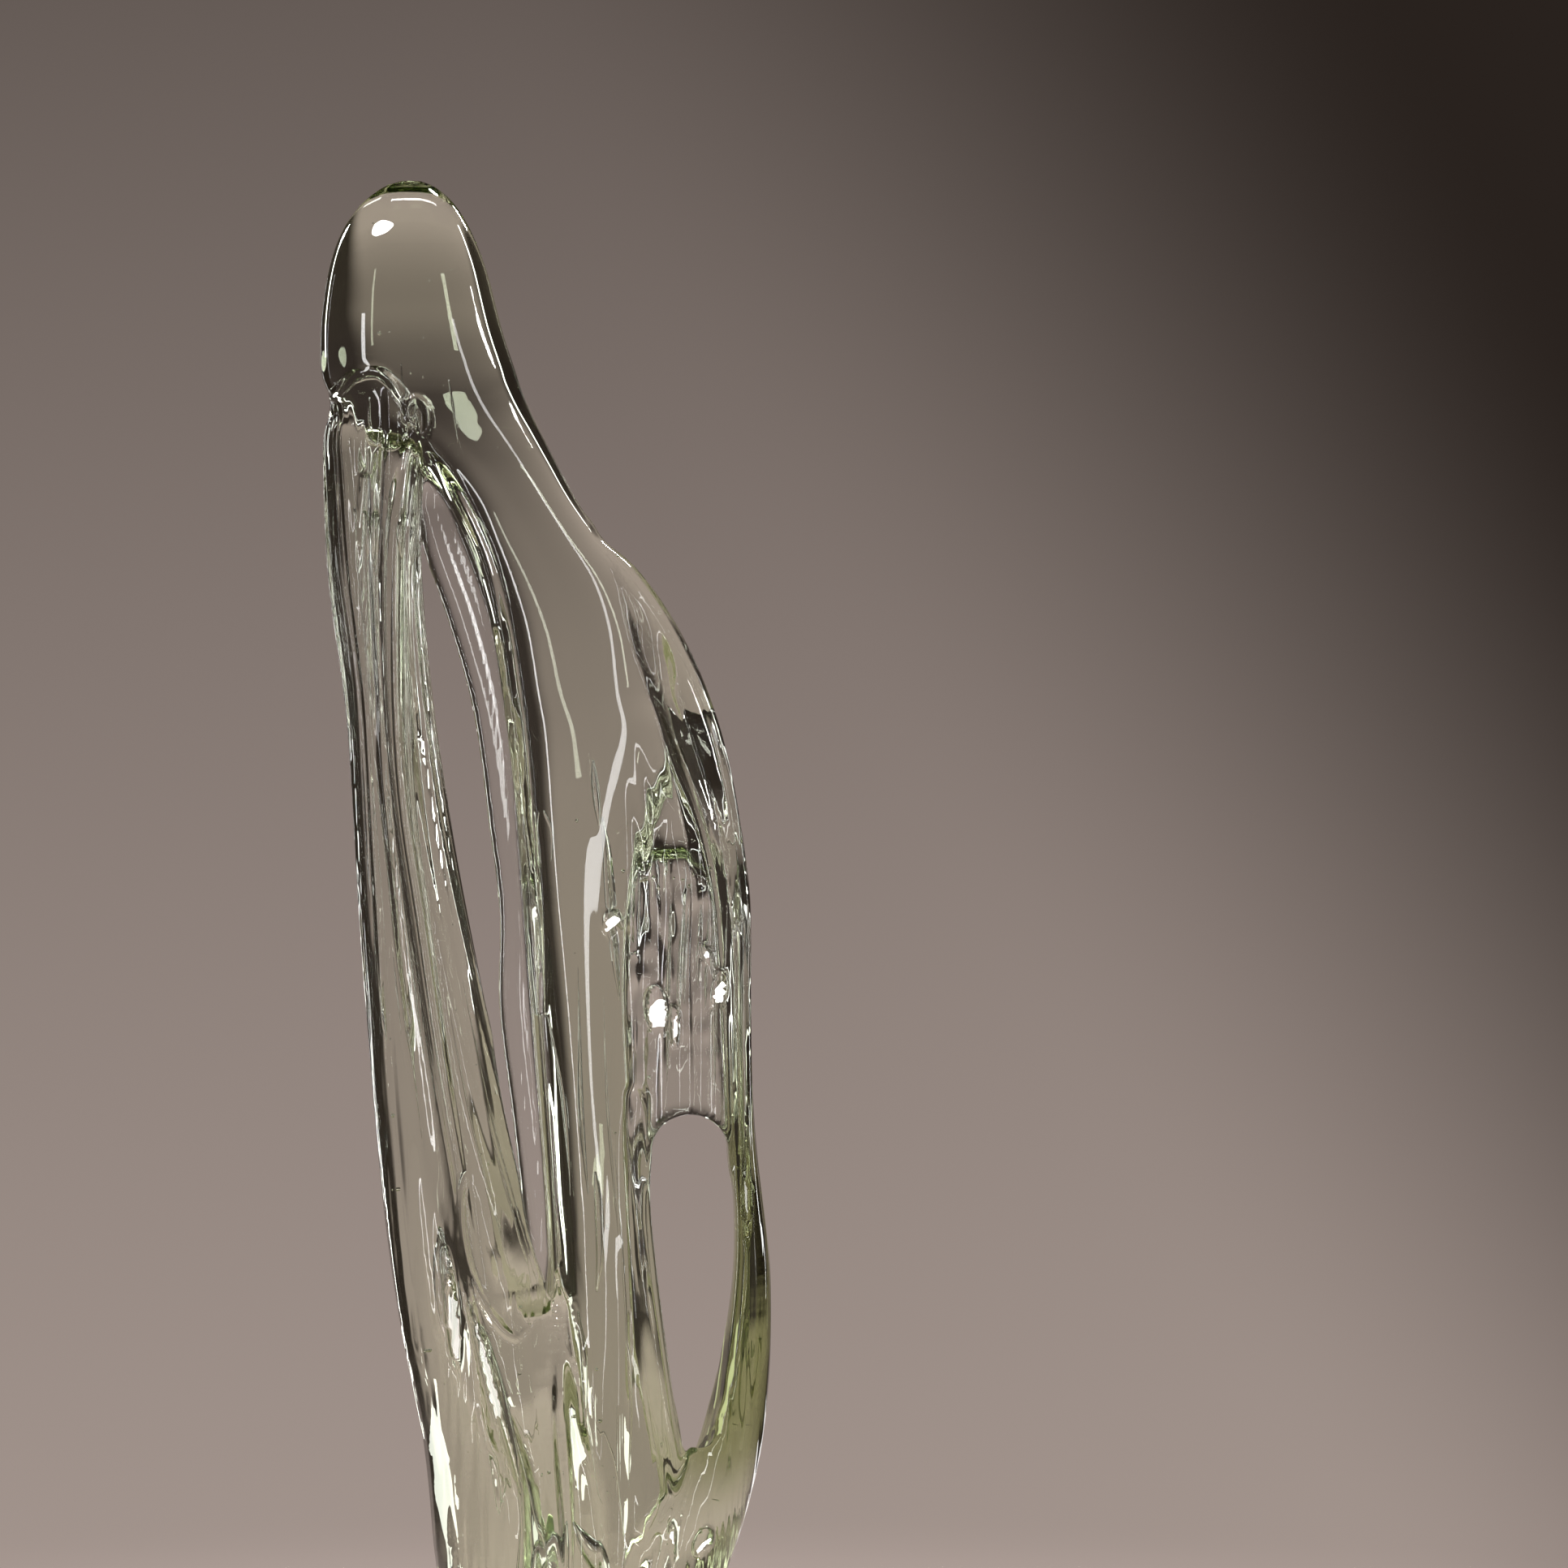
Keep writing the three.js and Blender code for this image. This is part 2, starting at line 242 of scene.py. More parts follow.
# The pocket behind the web, open to the back: its front wall, and a form as the openings have
POCKET_FRONT, POCKET_WALL_SOFT = -1.0, 3.0
POCKET = dict(
    lean_low=(0.0, 0.0), lean_high=(0.0, 0.0), drop=0.0, blend=20.0,
    front=0.0, soft=4.0, cap_low=14.0, cap_high=20.0,
    edges=[
        (152, 20.0, 36.8),
        (168, 16.4, 37.4),
        (RIGHT_ARCH, 12.6, 36.4),
        (230, 10.4, 35.4),
        (244, 10.8, 34.4),
    ],
)
LEAST_HALF_OPENING = 0.3

# Streaks drawn into the pocket's wall and the trunk. Columns: height and width of the patches in which a
# streak shows, depth, waves across, sway, height of the sway, phase.
STREAKS = (
    (9, 4, 0.45, 1.05, 1.8, 26, 0),
    (13, 6, 0.4, 1.9, 2.2, 33, 2),
    (7, -5, 0.25, 3.3, 1.7, 19, 4),
)
POCKET_RIPPLE, TRUNK_RIPPLE = 0.9, 0.14
# The trunk's streaks set in from a level over a height, and fade out over a height up to their top
TRUNK_RIPPLE_LOW, TRUNK_RIPPLE_IN, TRUNK_RIPPLE_OUT, TRUNK_RIPPLE_TOP = 55.0, 25.0, 50.0, 190.0
TRUNK_RIPPLE_SLANT, TRUNK_RIPPLE_LIFT = 0.3, 9.0
CRINKLE_FADE = 8.0

# Beads laid on the glass and grooves pressed into it. Rows: x, y, z, radius. Soft is the rounding of the
# joint with the glass, and no strand is felt further away than the reach.
STRAND_REACH = 10.0
BEADS = {
    "sail_edge": dict(
        soft=1.8,
        rows=[
            (-39.5, -9.0, 364, 1.6),
            (-36.6, -8.6, 362, 2.0),
            (-31.6, -8.4, 354.4, 2.2),
            (-26.2, -8.0, 343.8, 2.2),
            (-21.8, -7.8, 332, 2.2),
            (-18.6, -7.6, 317, 2.2),
            (-16, -7.6, 300, 2.2),
            (-13.8, -7.8, 281.6, 2.2),
            (-12.2, -8.2, 263.4, 2.2),
            (-11, -8.8, 246, 2.0),
            (-9.8, -8.6, 226, 1.2),
        ],
    ),
    "cane_front": dict(
        soft=1.4,
        rows=[
            (-41.4, -11.4, 366, 1.3),
            (-42.8, -14.4, 354, 2.0),
            (-44, -16.2, 340, 2.4),
            (-44, -17, 318, 2.5),
            (-43.2, -17.4, 296, 2.4),
            (-41.4, -17.8, 274, 2.2),
            (-38, -18.2, 250, 2.0),
            (-33, -18.4, 215, 1.8),
            (-27, -19.2, 180, 1.5),
            (-22, -20.0, 150, 1.0),
        ],
    ),
    "hood_loop": dict(
        soft=1.0,
        rows=[
            (-59.8, -7.6, 376.2, 1.0),
            (-57, -10.4, 378.6, 1.4),
            (-54, -11.7, 381.4, 1.5),
            (-49, -12.5, 382.4, 1.5),
            (-44.6, -12.6, 379, 1.5),
            (-41.4, -12, 373, 1.5),
            (-40.2, -10.8, 367, 1.4),
        ],
    ),
    "hood_loop_small": dict(
        soft=0.8,
        rows=[
            (-40.2, -11.2, 368, 1.0),
            (-41.6, -12.4, 372, 0.9),
            (-39.6, -12.8, 375.4, 0.9),
            (-36.8, -12.6, 373.4, 0.9),
            (-36.6, -11.8, 368.4, 0.9),
            (-38.8, -10.8, 365, 1.0),
        ],
    ),
    "trunk_cord": dict(
        soft=5.0,
        rows=[
            (-5.4, -12.6, 154, 1.4),
            (-5.2, -13.6, 147, 2.6),
            (-4.6, -14.8, 138, 3.6),
            (-3.6, -15.6, 126, 3.6),
            (-2.2, -16.2, 112, 2.4),
        ],
    ),
    "limb_root": dict(
        soft=3.0,
        rows=[
            (24.6, -12, 112, 2.4),
            (21, -12.6, 130, 2.6),
            (17, -12, 160, 2.4),
            (14.4, -11, 190, 2.0),
            (15, -10.6, 205, 1.6),
        ],
    ),
}
GROOVES = {
    "shoulder_fold": dict(
        soft=2.0,
        rows=[
            (5.4, -11.4, 344, 0.6),
            (13.4, -11.6, 331, 1.6),
            (17.6, -11.6, 320, 3.0),
            (19.2, -11.6, 310, 4.2),
            (20.4, -12, 302, 3.2),
            (23, -12.6, 295, 2.4),
            (22.4, -12.6, 285, 2.2),
            (19.4, -12.4, 272, 2.0),
            (16.6, -12.2, 260, 1.2),
        ],
    ),
    "cane_seam": dict(
        soft=1.2,
        rows=[
            (-52, -11, 356, 1.0),
            (-52.4, -13.4, 335, 2.0),
            (-50, -15.6, 300, 2.0),
            (-47, -17, 262, 1.6),
            (-42.6, -18.6, 225, 1.2),
        ],
    ),
    "trunk_seam": dict(
        soft=2.0,
        rows=[
            (-3.0, -19.6, 152, 1.0),
            (-1.6, -20.4, 130, 3.8),
            (1.4, -22.0, 105, 5.0),
            (2, -25, 80, 4.6),
            (1, -28, 62, 2.6),
        ],
    ),
    "cane_fold": dict(
        soft=1.6,
        rows=[
            (-27, -23.4, 160, 1.0),
            (-23.4, -24.0, 147, 3.6),
            (-18.6, -25.0, 128, 4.2),
            (-13.8, -26.0, 111, 4.2),
            (-12.4, -26.6, 92, 3.8),
            (-11, -28, 66, 2.4),
        ],
    ),
    "leaf_edge": dict(
        soft=0.8,
        rows=[
            (-25.0, -20.8, 188.5, 0.3),
            (-27.2, -20.6, 186.0, 0.9),
            (-28.1, -20.2, 177.6, 1.0),
            (-26.6, -20.5, 167.0, 1.0),
            (-22.4, -21.2, 156.6, 1.1),
            (-17.7, -21.5, 150.0, 1.1),
            (-14.2, -21.5, 148.0, 0.9),
            (-11.0, -20.0, 150.6, 0.5),
        ],
    ),
    "sail_seam": dict(
        soft=1.6,
        rows=[
            (9.4, -15.6, 192, 1.0),
            (9.8, -17.6, 165, 3.0),
            (10.2, -17.6, 130, 3.6),
            (10.4, -17.4, 100, 4.0),
            (9, -20, 70, 2.6),
        ],
    ),
    "root_seam": dict(
        soft=1.6,
        rows=[
            (27.6, -16, 122, 1.0),
            (22, -18.6, 105, 3.4),
            (17, -20.4, 86, 4.0),
            (14, -24, 66, 3.2),
        ],
    ),
    "back_seam_left": dict(
        soft=1.6,
        rows=[
            (-46, 14, 300, 1.4),
            (-40, 15.4, 240, 3.2),
            (-31, 17.4, 180, 4.0),
            (-22, 20.4, 130, 4.4),
            (-14, 23.4, 84, 4.0),
            (-11, 26, 62, 2.0),
        ],
    ),
    "back_seam_right": dict(
        soft=1.8,
        rows=[
            (24, 20, 112, 1.6),
            (20, 24, 96, 4.0),
            (15, 26, 76, 4.0),
            (13, 28, 60, 2.0),
        ],
    ),
}

# Flat marks pressed into the front. Columns: x, z, y of the skin at the lower edge, half width, half height,
# lean of the long axis, upward tilt and turn of the mark's face, in degrees.
MARKS = [
    (8.2, 247.6, -10.6, 2.2, 3.4, 0, 26, -8),
    (19.2, 226.6, -12.4, 2.6, 6.0, 6, 26, -8),
    (23.6, 223.0, -12.4, 1.0, 5.0, 2, 24, -7),
    (34.4, 231.6, -12.2, 1.8, 5.0, -8, 26, -8),
    (31.4, 240.0, -12.0, 0.9, 2.6, 20, 26, -8),
    (13.4, 238.0, -12.0, 1.2, 2.4, -24, 26, -8),
    (-30.2, 155.0, -18.6, 1.7, 15.0, 6, 5, -8.4),
    (-31.0, 160.0, -18.0, 0.8, 3.4, 6, 29.5, -4.6),
    (-19.8, 133.0, -21.7, 1.3, 24.0, 15, 5, -9),
    (30.6, 98.0, -17.6, 2.0, 3.4, -20, 31.7, -8),
    (23.0, 98.0, -18.6, 0.8, 4.4, 0, 31.5, -7.6),
    (41.4, 184.0, -14.4, 1.0, 12.0, 0, 3, 4.7),
]
MARK_SOFT, MARK_REACH_ACROSS, MARK_REACH_UP = 0.8, 20.0, 12.0

# Air shut in between the gathers: tears, loops and films. Rows: x, y, z, half width, half thickness. The
# tilt turns a flat pocket about its own length, in degrees.
POCKETS = {
    "tear_left_leg": dict(
        tilt=0,
        rows=[
            (-9.2, -3, 274.8, 0.3, 0.3),
            (-10.2, -3, 269.2, 0.5, 0.4),
            (-8.8, -3, 261.2, 0.15, 0.15),
        ],
    ),
    "tear_right_leg": dict(
        tilt=0,
        rows=[
            (-7.8, -3, 274.8, 0.3, 0.3),
            (-6.2, -3, 270.0, 0.5, 0.4),
            (-6.2, -3, 262.8, 0.15, 0.15),
        ],
    ),
    "tear_b": dict(
        tilt=0,
        rows=[
            (3.2, -2, 287.2, 0.3, 0.3),
            (3.6, -2, 281.8, 1, 0.7),
            (4.2, -2, 275.8, 0.9, 0.6),
            (4.6, -2, 271.2, 0.2, 0.2),
        ],
    ),
    "sail_stripe": dict(
        tilt=52,
        rows=[
            (5.4, -3, 273.2, 0.4, 0.3),
            (6.6, -4, 264.8, 1.5, 0.5),
            (7.4, -4, 252.8, 1.9, 0.5),
            (8.6, -5, 238.8, 1.4, 0.4),
            (9.6, -5, 228.8, 0.3, 0.2),
        ],
    ),
    "wedge": dict(
        tilt=54,
        rows=[
            (23.4, -1, 300.0, 0.8, 0.3),
            (27.0, -1, 294.6, 5.4, 0.7),
            (31.4, -1, 286.4, 6.6, 0.8),
            (34.6, -1, 277.8, 5.8, 0.7),
            (37.0, -1, 268.8, 3.8, 0.5),
            (39.0, -1, 260.4, 0.8, 0.2),
        ],
    ),
    "slot_a": dict(
        tilt=30,
        rows=[
            (4.0, -8, 186.8, 0.3, 0.3),
            (4.8, -8, 178.8, 1.1, 0.6),
            (5.2, -8, 166.8, 1, 0.6),
            (4.6, -8, 158.0, 0.3, 0.3),
        ],
    ),
    "slot_b": dict(
        tilt=-30,
        rows=[
            (0.6, -8, 152.8, 0.3, 0.3),
            (1.4, -8, 142.8, 1.3, 0.6),
            (1.0, -8, 130.8, 1.1, 0.6),
            (0.0, -8, 124.4, 0.3, 0.3),
        ],
    ),
    "hood_thread": dict(
        tilt=0,
        rows=[
            (-43.2, -6, 384.4, 0.12, 0.12),
            (-43.0, -7, 378.8, 0.3, 0.25),
            (-42.4, -8, 371.8, 0.35, 0.25),
        ],
    ),
    "hood_thread_b": dict(
        tilt=0,
        rows=[
            (-50.6, -4, 376.8, 0.12, 0.12),
            (-50.4, -4, 371.8, 0.35, 0.25),
            (-49.4, -4, 366.8, 0.12, 0.12),
        ],
    ),
    "hood_thread_c": dict(
        tilt=0,
        rows=[
            (-31.8, -5, 380.8, 0.12, 0.12),
            (-30.8, -5, 374.8, 0.3, 0.25),
            (-29.6, -5, 365.8, 0.12, 0.12),
        ],
    ),
    "arch_ring": dict(
        tilt=0,
        rows=[
            (-56.6, 2, 380.4, 0.35, 0.35),
            (-53.4, 2, 382.4, 0.8, 0.6),
            (-47.8, 2, 382.4, 0.9, 0.6),
            (-43.6, 1, 377.6, 0.9, 0.6),
            (-42.0, 0, 370.4, 0.6, 0.5),
            (-43.0, -1, 365.8, 0.3, 0.3),
        ],
    ),
    "arch_ring_b": dict(
        tilt=0,
        rows=[
            (-55.8, 4, 378.8, 0.35, 0.35),
            (-53.8, 4, 372.4, 0.8, 0.6),
            (-50.6, 3, 366.8, 1, 0.7),
            (-46.6, 2, 363.6, 0.8, 0.6),
            (-43.0, 1, 363.2, 0.3, 0.3),
        ],
    ),
    "slot_window": dict(
        tilt=20,
        rows=[
            (-52.6, -2, 348.0, 0.6, 0.3),
            (-49.0, -2, 344.8, 3.4, 1),
            (-48.6, -2, 340.4, 3, 1),
            (-48.2, -2, 336.8, 0.6, 0.3),
        ],
    ),
    "loop_pocket": dict(
        tilt=34,
        rows=[
            (-33.0, -10, 173.6, 0.6, 0.4),
            (-31.8, -10, 167.6, 3.4, 1.6),
            (-31.4, -10, 158.0, 3.6, 1.7),
            (-30.8, -10, 149.6, 2.2, 1.2),
            (-30.4, -10, 144.0, 0.5, 0.4),
        ],
    ),
    "diagonal": dict(
        tilt=-46,
        rows=[
            (-26.0, -15, 157.0, 0.6, 0.4),
            (-22.6, -16, 146.0, 3.2, 1.2),
            (-19.0, -16.6, 133.0, 4.0, 1.4),
            (-16.0, -17, 121.0, 3.4, 1.2),
            (-13.4, -17, 110.0, 0.6, 0.4),
        ],
    ),
    "dark_leaf_a": dict(
        tilt=24,
        rows=[
            (-4.6, -13, 102.0, 0.6, 0.4),
            (-6.4, -14, 95.6, 3.0, 1.4),
            (-8.0, -14.6, 86.0, 3.4, 1.6),
            (-8.6, -15, 78.0, 0.6, 0.4),
        ],
    ),
    "dark_leaf_b": dict(
        tilt=-26,
        rows=[
            (-1.6, -13, 102.0, 0.6, 0.4),
            (2.0, -14, 97.0, 2.8, 1.4),
            (5.6, -14.6, 92.0, 3.0, 1.5),
            (7.0, -15, 84.0, 0.6, 0.4),
        ],
    ),
}

# Threads drawn out with the canes: gather, how many, lowest and highest level, widest half width
THREADS = [
    ("outer_cane", 9, WAIST + 10, NECK - 14, 0.3),
    ("inner_cane", 10, WAIST + 10, NECK - 14, 0.34),
    ("web", 12, RIGHT_ARCH + 4, POCKET_TOP - 4, 0.5),
    ("right_limb", 3, TRUNK, POCKET_TOP, 0.25),
    ("sail", 11, WAIST + 20, POCKET_TOP - 20, 0.35),
    ("core", 5, FOOT_TOP + 6, LEFT_CROTCH - 30, 0.5),
]
THREAD_LENGTHS, THREAD_TILT, THREAD_SIDES = (20, 110), 60, 8
THREAD_ACROSS, THREAD_DEEP = 0.75, (-0.7, 0.5)
THREAD_SIZES, THREAD_FLATNESS = (0.15, 0.8, 1.0, 0.7, 0.15), 0.6

# Seeds are small round bubbles: some anywhere in the glass, and one row of larger ones over the pocket
SEED_COUNT, SEED_DEPTH = 110, 1.5
SEED_TRIES = 5 * SEED_COUNT
SEED_RANGES = ((-60, 44), (-18, 16), (20, CROWN - 6))
SEED_RADII, LARGE_SEED = (0.14, 0.18, 0.22, 0.3, 0.45), 0.35
ROW_COUNT, ROW_START, ROW_STEP, ROW_LIFT, ROW_SPREAD, ROW_COVER = 16, 10.6, 1.6, 2, 3, 1.2
ROW_DEPTHS, ROW_RADII = (-7, -4), (0.35, 0.5, 0.7)

# A pocket is pushed in under the skin by its cover, at most by the limit, and left out where less than the
# least cover remains
SKIN_COVER, SUNK_LIMIT, LEAST_COVER, LEAST_POCKET = 0.6, 3.0, 0.2, 0.05

# The grid that the skin is meshed in: its cell, the cells in a block, the room left round the object, how
# many block lengths from a block's middle the skin may pass, the greatest distance kept, and how far from
# a gather its form isn't worked out
VOXEL = 0.85
BLOCK, MARGIN, BLOCK_REACH, INSIDE_LIMIT, FAR = 12, 4.0, 1.2, 6.0, 20.0

# The skin is settled in parts of about so many points, from cells of this width, and a point moves by at
# most a share of the grid's cell in a round. The steepness and the guards keep divisions away from zero.
PART_POINTS, PART_CELL = 6000, 24
LEAST_STEEPNESS, SETTLING_SHARE = 0.1, 0.5
OVAL_GUARD, ROUND_GUARD, LENGTH_GUARD = 1e-4, 1e-6, 1e-9


def catmull_rom(rows, per_span=16):
    """The smooth curve through rows of numbers, with its ends carried on straight."""
    rows = np.asarray(rows, float)
    padded = np.vstack([2 * rows[0] - rows[1], rows, 2 * rows[-1] - rows[-2]])
    share = np.linspace(0, 1, per_span, endpoint=False)[:, None]
    pieces = []
    for before, start, end, after in zip(padded, padded[1:], padded[2:], padded[3:]):
        slope_in, slope_out = (end - before) / 2, (after - start) / 2
        pieces.append(
            start + slope_in * share
            + (3 * (end - start) - 2 * slope_in - slope_out) * share**2
            + (2 * (start - end) + slope_in + slope_out) * share**3
        )
    return np.vstack([*pieces, rows[-1:]])


TRACKS = {name: catmull_rom(gather["stations"]) for name, gather in GATHERS.items()}
for hole in (*OPENINGS.values(), POCKET):
    hole["track"] = catmull_rom(hole["edges"])
STRANDS = [
    (catmull_rom(strand["rows"], per_span=4), strand["soft"], sign)
    for strands, sign in ((BEADS, 1), (GROOVES, -1))
    for strand in strands.values()
]

# Flutes round a gather: how many and their share of the depth, and the ranges that phase, sway and the
# height of the sway are drawn from. They deepen from the trunk up to the shoulder.
FLUTE_WAVES = ((4, 1.2), (7, 1.0), (12, 0.8), (19, 0.5))
FLUTE_RANGES = ((0, 6.3), (0.2, 0.8), (14, 34))
FLUTE_LEVELS, FLUTE_SHARES = (RIGHT_CROTCH, RIGHT_ARCH, SHOULDER), (0.35, 0.6, 1.0)
TWIST_HEIGHT = 50


def drawn_flutes():
    """Waves round each gather: count, share of the depth, phase, sway and height of the sway."""
    generator = random.Random(11)
    return {
        name: [
            (count, share, *(generator.uniform(*ends) for ends in FLUTE_RANGES))
            for count, share in FLUTE_WAVES
        ]
        for name in GATHERS
    }


FLUTES = drawn_flutes()


def gather_field(name, x, y, z):
    """About the distance outside a gather, in millimetres, and the softness of its joint there."""
    gather, track = GATHERS[name], TRACKS[name]
    low, high = track[0, 0] - gather["cap_low"], track[-1, 0] + gather["cap_high"]
    if z.min() > high + FAR or z.max() < low - FAR:
        return np.full_like(z, FAR), 1.0
    level = np.clip(z, track[0, 0], track[-1, 0])
    centre_x, centre_y, half_width, half_depth, turn, softness = (
        np.interp(level, track[:, 0], track[:, column]) for column in range(1, 7)
    )
    turn = np.radians(turn)
    right = (x - centre_x) * np.cos(turn) + (y - centre_y) * np.sin(turn)
    back = (y - centre_y) * np.cos(turn) - (x - centre_x) * np.sin(turn)
    across, deep = right / half_width, back / half_depth
    over = np.where(z > level, (z - level) / gather["cap_high"], (level - z) / gather["cap_low"])
    cap = np.where(z > level, gather["cap_high"], gather["cap_low"])
    power = gather["squareness"]
    wide, thick = np.abs(across) + OVAL_GUARD, np.abs(deep) + OVAL_GUARD
    total = wide**power + thick**power
    ring = total ** (1 / power)
    steep = total ** (1 / power - 1) * np.hypot(
        wide ** (power - 1) / half_width, thick ** (power - 1) / half_depth
    )
    size = np.hypot(ring, over)
    slope = np.hypot(ring * steep, over / cap) / size
    flute_depth, twist = gather["flutes"]
    angle = np.arctan2(deep, across)
    flute = sum(
        share * np.cos(count * angle + twist * z / TWIST_HEIGHT + phase + sway * np.sin(z / wave))
        for count, share, phase, sway, wave in FLUTES[name]
    )
    return (size - 1) / slope + flute_depth * np.interp(z, FLUTE_LEVELS, FLUTE_SHARES) * flute, softness


def soft_union(first, second, softness):
    """The union of two fields, rounded where they meet."""
    share = np.clip(0.5 + 0.5 * (second - first) / softness, 0, 1)
    return second * (1 - share) + first * share - softness * share * (1 - share)


def foot_field(x, y, z):
    """A pressed disc with a round rim and a hollow flare up to the trunk."""
    radius = np.hypot(x, y)
    half = FOOT_RIM_HEIGHT / 2
    out = np.maximum(radius - (FOOT_RADIUS - FOOT_RIM_ROUND), 0) / FOOT_RIM_ROUND
    up = (z - half) / half
    size = np.hypot(out, up) + ROUND_GUARD
    disc = (size - 1) * size / (np.hypot(out / FOOT_RIM_ROUND, up / half) + ROUND_GUARD)
    climb = np.clip((z - FOOT_RIM_HEIGHT) / (FOOT_TOP - FOOT_RIM_HEIGHT), 0, 1)
    wide = FOOT_RADIUS - FOOT_RIM_ROUND - FOOT_COLLAR
    above = np.clip((z - FOOT_TOP) / (FLARE_TOP - FOOT_TOP), 0, 1)
    narrowed = FLARE_NARROWING * above * above * (3 - 2 * above)
    flare = FLARE_STEEPNESS * (radius - FOOT_COLLAR - wide * (1 - np.sqrt(climb)) ** 2 + narrowed)
    flare = np.maximum(flare, np.maximum(z - FLARE_TOP, FOOT_RIM_HEIGHT - FLARE_SUNK - z))
    return soft_union(disc, flare, FOOT_SOFT)


def hole_field(hole, x, y, z):
    """About the distance outside an opening's outline, leaned and dropped with depth."""
    track = hole["track"]
    depth = y - hole["front"]
    low_part = np.clip(((track[0, 0] + track[-1, 0]) / 2 - z) / hole["blend"] + 0.5, 0, 1)
    low_part = low_part * low_part * (3 - 2 * low_part)
    z = z + hole["drop"] * depth * low_part
    level = np.clip(z, track[0, 0], track[-1, 0])
    left, right = (
        np.interp(level, track[:, 0], track[:, column])
        + depth * (lean_high + low_part * (lean_low - lean_high))
        for column, lean_low, lean_high in zip((1, 2), hole["lean_low"], hole["lean_high"])
    )
    half = np.maximum((right - left) / 2, LEAST_HALF_OPENING)
    across = (x - (left + right) / 2) / half
    cap = np.where(z > level, hole["cap_high"], hole["cap_low"])
    over = (z - level) / cap
    size = np.hypot(across, over) + ROUND_GUARD
    return (size - 1) * size / (np.hypot(across / half, over / cap) + ROUND_GUARD)


def strand_field(rows, x, y, z):
    """The distance outside a round strand along its rows."""
    field = np.full_like(z, FAR)
    for start, end in zip(rows, rows[1:]):
        step = end[:3] - start[:3]
        share = (
            (x - start[0]) * step[0] + (y - start[1]) * step[1] + (z - start[2]) * step[2]
        ) / (step @ step)
        share = np.clip(share, 0, 1)
        far = np.sqrt(
            (x - start[0] - share * step[0]) ** 2
            + (y - start[1] - share * step[1]) ** 2
            + (z - start[2] - share * step[2]) ** 2
        )
        field = np.minimum(field, far - start[3] - share * (end[3] - start[3]))
    return field


def near_strand(rows, x, y, z):
    """Whether a block of points comes near a strand."""
    low, high = rows[:, :3].min(0) - STRAND_REACH, rows[:, :3].max(0) + STRAND_REACH
    return all(axis.max() > low[i] and axis.min() < high[i] for i, axis in enumerate((x, y, z)))


def cut(field, hole, softness):
    """The field without a hole, rounded along the hole's rim."""
    return -soft_union(-field, hole, softness)


def ripple(x, z):
    """Upright streaks drawn into a wall of glass, of about one millimetre."""
    return sum(
        (0.5 + 0.5 * np.cos(z / tall + x / wide + phase))
        * depth * np.cos(waves * x + sway * np.sin(z / rise) + phase)
        for tall, wide, depth, waves, sway, rise, phase in STREAKS
    )


def near_mark(mark, x, z):
    """Whether a block of points comes near a flat mark."""
    place_x, place_z, _, _, half_height = mark[:5]
    beside = abs(x - place_x).min() < MARK_REACH_ACROSS
    return beside and abs(z - place_z).min() < half_height + MARK_REACH_UP


def mark_field(mark, x, y, z):
    """About the distance outside the glass that a flat mark takes away."""
    place_x, place_z, skin_y, half_width, half_height, lean, tilt, turn = mark
    lean, tilt, turn = (math.radians(angle) for angle in (lean, tilt, turn))
    across = (x - place_x) * math.cos(lean) + (z - place_z) * math.sin(lean)
    up = (z - place_z) * math.cos(lean) - (x - place_x) * math.sin(lean)
    window = (np.hypot(across / half_width, up / half_height) - 1) * half_width
    centre_y = skin_y + half_height * math.tan(tilt)
    face = (
        (y - centre_y) * math.cos(turn) * math.cos(tilt)
        - (x - place_x) * math.sin(turn) * math.cos(tilt)
        - (z - place_z) * math.sin(tilt)
    )
    return np.maximum(face, window)


def crinkle(x, z):
    """Dimples of about half a millimetre in the web's back, above the right opening's arch."""
    above = np.clip((z - RIGHT_ARCH - CRINKLE_FADE) / CRINKLE_FADE, 0, 1)
    below = np.clip((POCKET_TOP + CRINKLE_FADE / 2 - z) / CRINKLE_FADE, 0, 1)
    return above * below * (
        0.55 * np.cos(0.34 * z + 1.7 * np.sin(0.31 * x)) * np.cos(0.52 * x + 1.9 * np.sin(0.13 * z))
        + 0.3 * np.cos(0.61 * z - 0.44 * x + 2 * np.sin(0.23 * x + 0.17 * z))
    )


